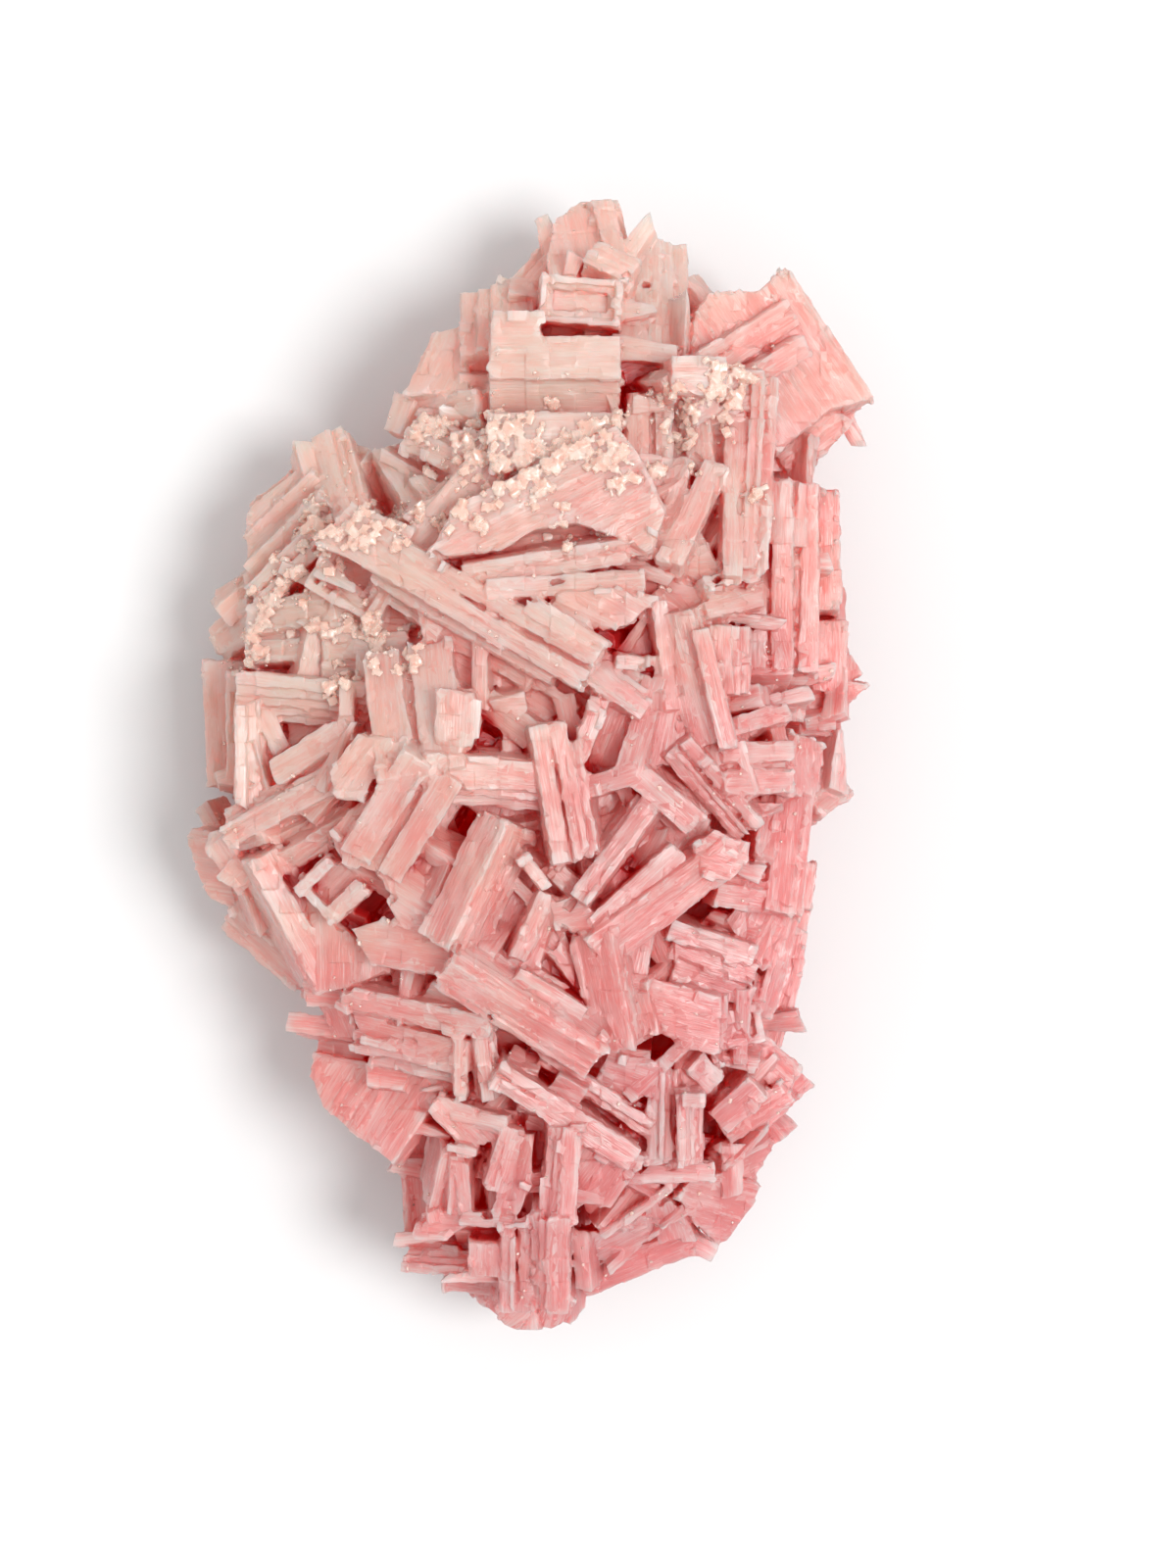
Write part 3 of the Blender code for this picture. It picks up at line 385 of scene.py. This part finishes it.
# One skin is drawn over all of it, worn a little and stepped in small blocks, as salt grows.
shaped(cluster, "REMESH", mode="VOXEL", voxel_size=VOXEL * MM, adaptivity=0.0)
shaped(cluster, "SMOOTH", factor=0.35, iterations=1)
worn = bpy.data.textures.new("worn", "CLOUDS")
worn.noise_scale = 1.4 * MM
worn.noise_depth = 3
shaped(cluster, "DISPLACE", texture=worn, texture_coords="LOCAL", strength=0.32 * MM, mid_level=0.5)
blocky = bpy.data.textures.new("blocky", "CLOUDS")
blocky.noise_basis = "CELL_NOISE"
blocky.noise_scale = 3.1 * MM
blocky.noise_depth = 1
shaped(cluster, "DISPLACE", texture=blocky, texture_coords="LOCAL", strength=0.32 * MM, mid_level=0.5)
shaped(cluster, "DECIMATE", ratio=TRIANGLES / (2 * len(cluster.data.polygons)), use_collapse_triangulate=True)

# Each face of the finished skin takes the grain of the crystal it came from, and each point learns how
# open it lies, how deep the salt is below it and how far it stands out.
grain_of = grown.loops.layers.uv.verify()
fine = bmesh.new()
fine.from_mesh(cluster.data)
fine.normal_update()
grain_map = fine.loops.layers.uv.new("grain")
SLIVER_AREA = 1e-9             # square metres
for face in fine.faces:
    source = grown.faces[grains.find_nearest(face.calc_center_median() + face.normal * 0.00005)[2]]
    corners = [loop.vert.co for loop in source.loops]
    places = [Vector((*loop[grain_of].uv, 0)) for loop in source.loops]
    if source.calc_area() < SLIVER_AREA:
        corners = None
    for loop in face.loops:
        if corners:
            place = barycentric_transform(loop.vert.co, *corners, *places)
            if abs(place.x - places[0].x) < 3 and abs(place.y - places[0].y) < 3:
                loop[grain_map].uv = place.xy
                continue
        loop[grain_map].uv = (places[0].x, places[0].y)
grown.free()
# How open a point lies is used below for painted shade, and how far it stands out for painted highlight.
OPEN_REACH = 8.0 * MM
THICK_REACH = 5.0 * MM
OUT_STEP = 0.2 * MM
IN_STEP = 0.1 * MM
DEPTH_RAYS = 6
# How far and how strongly the listed pits deepen the painted shade.
PIT_SHADE_REACH = 5.5                # millimetres
PIT_SHADE_STRENGTH = 1.1
skin = BVHTree.FromBMesh(fine)
fan = [Vector((math.cos(a) * s, math.sin(a) * s, c)) for s, c, count in ((0.5, 0.87, 4), (0.87, 0.5, 6))
       for a in [2 * math.pi * i / count + count for i in range(count)]]
facts = fine.verts.layers.float_color.new("salt_facts")
rough_facts = []
for vertex in fine.verts:
    normal = vertex.normal
    side = normal.orthogonal().normalized()
    third = normal.cross(side)
    seen = 0.0
    for ray in fan:
        heading = side * ray.x + third * ray.y + normal * ray.z
        hit = skin.ray_cast(vertex.co + normal * OUT_STEP, heading, OPEN_REACH)
        seen += 1.0 if hit[0] is None else hit[3] / OPEN_REACH
    depth = 0.0
    for ray in fan[:DEPTH_RAYS]:
        heading = side * ray.x + third * ray.y - normal * ray.z
        hit = skin.ray_cast(vertex.co - normal * IN_STEP, heading, THICK_REACH)
        depth += 1.0 if hit[0] is None else hit[3] / THICK_REACH
    bulge = 0.0
    for edge in vertex.link_edges:
        bulge -= (edge.other_vert(vertex).co - vertex.co).normalized().dot(normal)
    open_share = seen / len(fan)
    # Painted shade: near the listed pits a point counts as less open, so its salt is painted darker and
    # redder.
    pit = min(math.hypot(vertex.co.x / MM - x, vertex.co.y / MM - y) for x, y in OPEN_PITS)
    open_share -= PIT_SHADE_STRENGTH * max(0.0, 1.0 - pit / PIT_SHADE_REACH) * (1.0 - open_share)
    rough_facts.append((open_share, depth / DEPTH_RAYS, 0.5 + bulge / max(1, len(vertex.link_edges))))
fine.verts.index_update()
for vertex in fine.verts:
    near = [rough_facts[edge.other_vert(vertex).index] for edge in vertex.link_edges]
    near += [rough_facts[vertex.index]] * 2
    vertex[facts] = (*[sum(values) / len(near) for values in zip(*near)], 1)
fine.to_mesh(cluster.data)
fine.free()
del rough_facts
low_corner, high_corner = Vector(cad_box[0]), Vector(cad_box[1])


def finish_salt(piece, material, sharp=25):
    """Keeps a piece inside the block's size, shades it and gives it its salt."""
    for vertex in piece.data.vertices:
        for axis in range(3):
            vertex.co[axis] = min(max(vertex.co[axis], low_corner[axis]), high_corner[axis])
    piece.data.materials.clear()
    piece.data.materials.append(material)
    piece.data.shade_smooth()
    piece.data.set_sharp_from_angle(angle=math.radians(sharp))
    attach(piece, "root")


def add_node(tree, kind, **settings):
    """One shader node with its settings; keys that name a socket set that socket's value."""
    node = tree.nodes.new("ShaderNode" + kind)
    for key, value in settings.items():
        if hasattr(node, key):
            setattr(node, key, value)
        else:
            node.inputs[key.replace("_", " ")].default_value = value
    return node


def colour_ramp(tree, source, stops):
    """Colour ramp fed by a socket."""
    ramp = add_node(tree, "ValToRGB")
    while len(ramp.color_ramp.elements) < len(stops):
        ramp.color_ramp.elements.new(0.5)
    for element, (position, colour) in zip(ramp.color_ramp.elements, stops):
        element.position = position
        element.color = (*colour, 1.0)
    tree.links.new(source, ramp.inputs[0])
    return ramp.outputs[0]


def mixed(tree, amount, first, second):
    """Mix of two colours; each may be a socket or a plain colour."""
    mix = tree.nodes.new("ShaderNodeMix")
    mix.data_type = "RGBA"
    for slot, value in ((0, amount), (6, first), (7, second)):
        if isinstance(value, bpy.types.NodeSocket):
            tree.links.new(value, mix.inputs[slot])
        elif slot == 0:
            mix.inputs[slot].default_value = value
        else:
            mix.inputs[slot].default_value = (*value, 1.0)
    return mix.outputs[2]


def ranged(tree, source, low, high, to_low=0.0, to_high=1.0):
    """Clamped change of range of a value."""
    node = add_node(tree, "MapRange")
    tree.links.new(source, node.inputs[0])
    for slot, value in enumerate((low, high, to_low, to_high), start=1):
        node.inputs[slot].default_value = value
    return node.outputs[0]


def summed(tree, *terms):
    """Weighted sum of sockets, each term a (socket, weight) pair."""
    total = None
    for socket, weight in terms:
        step = add_node(tree, "Math", operation="MULTIPLY_ADD")
        tree.links.new(socket, step.inputs[0])
        step.inputs[1].default_value = weight
        if total is None:
            step.inputs[2].default_value = 0.0
        else:
            tree.links.new(total, step.inputs[2])
        total = step.outputs[0]
    return total


def noise_on(tree, place, stretch, **settings):
    """Noise on a stretched place."""
    mapping = add_node(tree, "Mapping")
    mapping.inputs["Scale"].default_value = stretch
    tree.links.new(place, mapping.inputs["Vector"])
    noise = add_node(tree, "TexNoise", **settings)
    tree.links.new(mapping.outputs[0], noise.inputs["Vector"])
    return noise.outputs["Fac"]


HUE_SLOPE = (7.5, -6.5, 0.0)   # the salt turns from pale peach to rose along this, per metre
salt = bpy.data.materials.new("rose_salt")
salt.use_nodes = True
tree = salt.node_tree
shader = tree.nodes["Principled BSDF"]
link = tree.links.new
here = add_node(tree, "TexCoord").outputs["Object"]
grain = add_node(tree, "UVMap", uv_map="grain").outputs[0]
across_block = add_node(tree, "VectorMath", operation="DOT_PRODUCT")
across_block.inputs[1].default_value = HUE_SLOPE
link(here, across_block.inputs[0])
# Where on the cluster a point lies sets its pale and its deep colour.
hue_place = summed(tree, (noise_on(tree, here, (1, 1, 1), Scale=60.0, Detail=2.0, Roughness=0.6), 0.9),
                   (across_block.outputs["Value"], 1.0))
pale_stops = ((0.0, (1.0, 0.89, 0.80)), (0.5, (0.99, 0.78, 0.72)), (1.0, (0.97, 0.70, 0.69)))
deep_stops = ((0.0, (0.98, 0.58, 0.46)), (0.5, (0.87, 0.31, 0.28)), (1.0, (0.82, 0.28, 0.28)))
pale = colour_ramp(tree, hue_place, pale_stops)
deep = colour_ramp(tree, hue_place, deep_stops)
# Every crystal has a tone of its own, and bands, lines and splinters run along it.
tile = add_node(tree, "SeparateXYZ")
link(grain, tile.inputs[0])
tile_number = add_node(tree, "Math", operation="SNAP")
tile_number.inputs[1].default_value = UV_TILE
centred = add_node(tree, "Math", operation="ADD")
centred.inputs[1].default_value = UV_TILE / 2
link(tile.outputs["Y"], centred.inputs[0])
link(centred.outputs[0], tile_number.inputs[0])
tone = add_node(tree, "TexWhiteNoise", noise_dimensions="1D")
link(tile_number.outputs[0], tone.inputs["W"])
bands = noise_on(tree, grain, (0.6, 6.0, 1.0), Scale=1.0, Detail=2.0, Roughness=0.65)
lines = noise_on(tree, grain, (1.6, 34.0, 1.0), Scale=1.0, Detail=2.0, Roughness=0.6)
splinter_place = add_node(tree, "Mapping")
splinter_place.inputs["Scale"].default_value = (1.1, 10.0, 1.0)
link(grain, splinter_place.inputs["Vector"])
splinters = add_node(tree, "TexVoronoi", voronoi_dimensions="2D", Scale=1.0, Randomness=1.0)
link(splinter_place.outputs[0], splinters.inputs["Vector"])
splinter = add_node(tree, "SeparateColor")
link(splinters.outputs["Color"], splinter.inputs[0])
veils = noise_on(tree, here, (1, 1, 1), Scale=260.0, Detail=2.0, Roughness=0.6)
# Thick salt is deeper; scratches and veils are white; edges get painted highlight, pits painted red shade.
known = add_node(tree, "SeparateColor")
link(add_node(tree, "Attribute", attribute_name="salt_facts").outputs["Color"], known.inputs[0])
depth = summed(tree, (tone.outputs["Value"], 0.28), (bands, 0.90), (lines, 0.90), (splinter.outputs[0], 0.26),
               (veils, 0.35), (known.outputs[1], 0.50), (hue_place, 0.12))
colour = mixed(tree, ranged(tree, depth, 1.34, 1.98), pale, deep)
# Painted highlight on the edges that stand out, partly also paler worn salt: they are mixed towards white.
colour = mixed(tree, ranged(tree, known.outputs[2], 0.62, 0.90, 0.0, 0.55), colour, (1.0, 0.92, 0.88))
scratches = noise_on(tree, grain, (3.0, 60.0, 1.0), Scale=1.0, Detail=2.0, Roughness=0.65)
colour = mixed(tree, ranged(tree, scratches, 0.56, 0.74, 0.0, 0.7), colour, (1.0, 0.94, 0.91))
colour = mixed(tree, ranged(tree, hue_place, 0.12, 0.62, 0.45, 0.0), colour, (1.0, 0.79, 0.66))
haze = noise_on(tree, here, (1, 1, 1), Scale=150.0, Detail=2.0, Roughness=0.6)
colour = mixed(tree, ranged(tree, haze, 0.50, 0.72, 0.0, 0.38), colour, (1.0, 0.90, 0.86))
# Painted shade: the less open a point lies among the crystals, the more its salt is tinted a darker red.
colour = mixed(tree, ranged(tree, known.outputs[0], 0.15, 0.70, 0.65, 0.0), colour, (0.92, 0.36, 0.31))
# Painted shade: the most closed crevices and pits turn a deep, nearly black red.
colour = mixed(tree, ranged(tree, known.outputs[0], 0.05, 0.34, 1.0, 0.0), colour, (0.58, 0.015, 0.015))
link(colour, shader.inputs["Base Color"])
link(ranged(tree, veils, 0.3, 0.7, 0.28, 0.46), shader.inputs["Roughness"])
shader.inputs["IOR"].default_value = 1.544
shader.inputs["Transmission Weight"].default_value = 0.55
shader.inputs["Subsurface Weight"].default_value = 0.9
shader.inputs["Subsurface Radius"].default_value = (1.0, 0.8, 0.78)
shader.inputs["Subsurface Scale"].default_value = 0.002
body = add_node(tree, "VolumeAbsorption")
body.inputs["Color"].default_value = (1.0, 0.34, 0.28, 1.0)
body.inputs["Density"].default_value = 300.0
link(body.outputs[0], tree.nodes["Material Output"].inputs["Volume"])
relief = summed(tree, (lines, 0.5), (bands, 0.6), (scratches, 0.4))
bump = add_node(tree, "Bump", Strength=0.38, Distance=0.0007)
link(relief, bump.inputs["Height"])
link(bump.outputs[0], shader.inputs["Normal"])
finish_salt(cluster, salt)
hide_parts("halite_cluster")


# The sugar crust: when the last brine dried, it left grains of white salt in bands over the higher end,
# with single grains scattered everywhere. They sit fast on the crystals.
GRAIN_SIZE = (0.35, 1.15)
CLUMPS_PER_AREA = 0.30
LOOSE_GRAINS = 300
LOOSE_SIZE = 0.5
CRUST_VOXEL = 0.14
CRUST_TRIANGLES = 110000
CRUST_BANDS = (
    (-27, 32, -31, 22, 2.6), (-31, 22, -36, 14, 2.6), (-32, 17, -15, 17, 2.0), (-20, 17, -14, 12, 2.2),
    (-26.5, 11, -23, 11, 2.0), (-9, 30, 3, 38, 2.6), (3, 38, 12, 43, 2.6), (-5, 38, 9, 39, 4.0),
    (10, 36, 17, 36, 2.4), (18, 42, 25, 48, 4.5), (-12, 40, -3, 42, 4.5), (2, 28.5, 9, 28.5, 1.2),
    (-26, 27, -14, 31, 3.2), (9.5, 23.5, 10, 23.5, 1.0), (16.5, 21.5, 17.5, 21.5, 1.0), (28, 34, 30, 34, 1.2),
)
crust = []


def add_grain(x, y, largest):
    """One grain of salt on the crystals below a place; sizes run from dust up to the largest."""
    hit = skin.ray_cast(Vector((x * MM, y * MM, 0.1)), Vector((0, 0, -1)))
    if hit[0] is None or hit[0].z < 2 * MM:
        return
    one = GRAIN_SIZE[0] + (largest - GRAIN_SIZE[0]) * growth.random() ** 2.5
    along = tilted(hit[1].orthogonal().normalized(), 0.8)
    up = (tilted(hit[1], 0.5)).normalized()
    along = (along - up * along.dot(up)).normalized()
    size = (one * growth.uniform(0.8, 1.4), one, one * growth.uniform(0.7, 1.1))
    add_block(room_in(crust), hit[0] + up * one * growth.uniform(-0.15, 0.22) * MM, along, up, size, 0.12)


for x1, y1, x2, y2, width in CRUST_BANDS:
    span = math.hypot(x2 - x1, y2 - y1)
    for _ in range(int((span + width) * width * 2 * CLUMPS_PER_AREA)):
        share = growth.uniform(-0.1, 1.1)
        x = x1 + (x2 - x1) * share + growth.gauss(0, width * 0.5)
        y = y1 + (y2 - y1) * share + growth.gauss(0, width * 0.5)
        for _ in range(growth.randint(2, 11)):
            add_grain(x + growth.gauss(0, 0.55), y + growth.gauss(0, 0.55), GRAIN_SIZE[1])
for _ in range(LOOSE_GRAINS):
    x = growth.uniform(low_corner.x, high_corner.x) / MM
    y = growth.uniform(low_corner.y, high_corner.y) / MM
    add_grain(x, y, LOOSE_SIZE)
crust_mesh = bpy.data.meshes.new("sugar_crust")
crust_bm = gathered(crust)
crust_bm.to_mesh(crust_mesh)
crust_bm.free()
sugar_crust = bpy.data.objects.new("sugar_crust", crust_mesh)
bpy.context.scene.collection.objects.link(sugar_crust)
shaped(sugar_crust, "REMESH", mode="VOXEL", voxel_size=CRUST_VOXEL * MM, adaptivity=0.0)
shaped(sugar_crust, "SMOOTH", factor=0.5, iterations=2)
kept_share = min(1.0, CRUST_TRIANGLES / (2 * len(sugar_crust.data.polygons)))
shaped(sugar_crust, "DECIMATE", ratio=kept_share, use_collapse_triangulate=True)
sugar = bpy.data.materials.new("white_salt_grains")
sugar.use_nodes = True
sugar_tree = sugar.node_tree
sugar_shader = sugar_tree.nodes["Principled BSDF"]
sugar_here = add_node(sugar_tree, "TexCoord").outputs["Object"]
speckle = noise_on(sugar_tree, sugar_here, (1, 1, 1), Scale=700.0, Detail=2.0)
sugar_tree.links.new(colour_ramp(sugar_tree, speckle, ((0.35, (1.0, 0.62, 0.51)), (0.65, (1.0, 0.76, 0.66)))),
                     sugar_shader.inputs["Base Color"])
sugar_tree.links.new(ranged(sugar_tree, speckle, 0.3, 0.7, 0.12, 0.4), sugar_shader.inputs["Roughness"])
sugar_shader.inputs["IOR"].default_value = 1.544
sugar_shader.inputs["Transmission Weight"].default_value = 0.5
sugar_shader.inputs["Subsurface Weight"].default_value = 0.8
sugar_shader.inputs["Subsurface Radius"].default_value = (1.0, 0.8, 0.78)
sugar_shader.inputs["Subsurface Scale"].default_value = 0.001
finish_salt(sugar_crust, sugar, 40)


# The studio: a plain pale table, a broad soft light from the right and a white room. The camera looks
# straight down.
FLOOR_HALF = 1.2
floor_bm = bmesh.new()
bmesh.ops.create_grid(floor_bm, x_segments=1, y_segments=1, size=FLOOR_HALF)
floor_mesh = bpy.data.meshes.new("table_top")
floor_bm.to_mesh(floor_mesh)
floor_bm.free()
floor = bpy.data.objects.new("table_top", floor_mesh)
bpy.context.scene.collection.objects.link(floor)
paper = bpy.data.materials.new("white_paper")
paper.use_nodes = True
paper.node_tree.nodes["Principled BSDF"].inputs["Base Color"].default_value = (0.57, 0.57, 0.57, 1)
paper.node_tree.nodes["Principled BSDF"].inputs["Roughness"].default_value = 0.9
floor_mesh.materials.append(paper)

room = bpy.data.worlds.new("white_room")
bpy.context.scene.world = room
room.use_nodes = True
room.node_tree.nodes["Background"].inputs["Color"].default_value = (1.0, 1.0, 1.0, 1)
room.node_tree.nodes["Background"].inputs["Strength"].default_value = 1.12
lamp = bpy.data.lights.new("soft_lamp", "SUN")
lamp.energy = 2.8
lamp.angle = math.radians(22)
lamp_object = bpy.data.objects.new("soft_lamp", lamp)
lamp_object.rotation_euler = (math.radians(4), math.radians(27), 0)
bpy.context.scene.collection.objects.link(lamp_object)

camera_data = bpy.data.cameras.new("camera")
camera_data.lens = 100
camera_data.sensor_fit = "VERTICAL"
camera_data.sensor_height = 36
camera_data.clip_start = 0.01
camera = bpy.data.objects.new("camera", camera_data)
camera.location = (0.0078, -0.0023, 0.5806)
bpy.context.scene.collection.objects.link(camera)
bpy.context.scene.camera = camera
bpy.context.scene.view_settings.view_transform = "Standard"
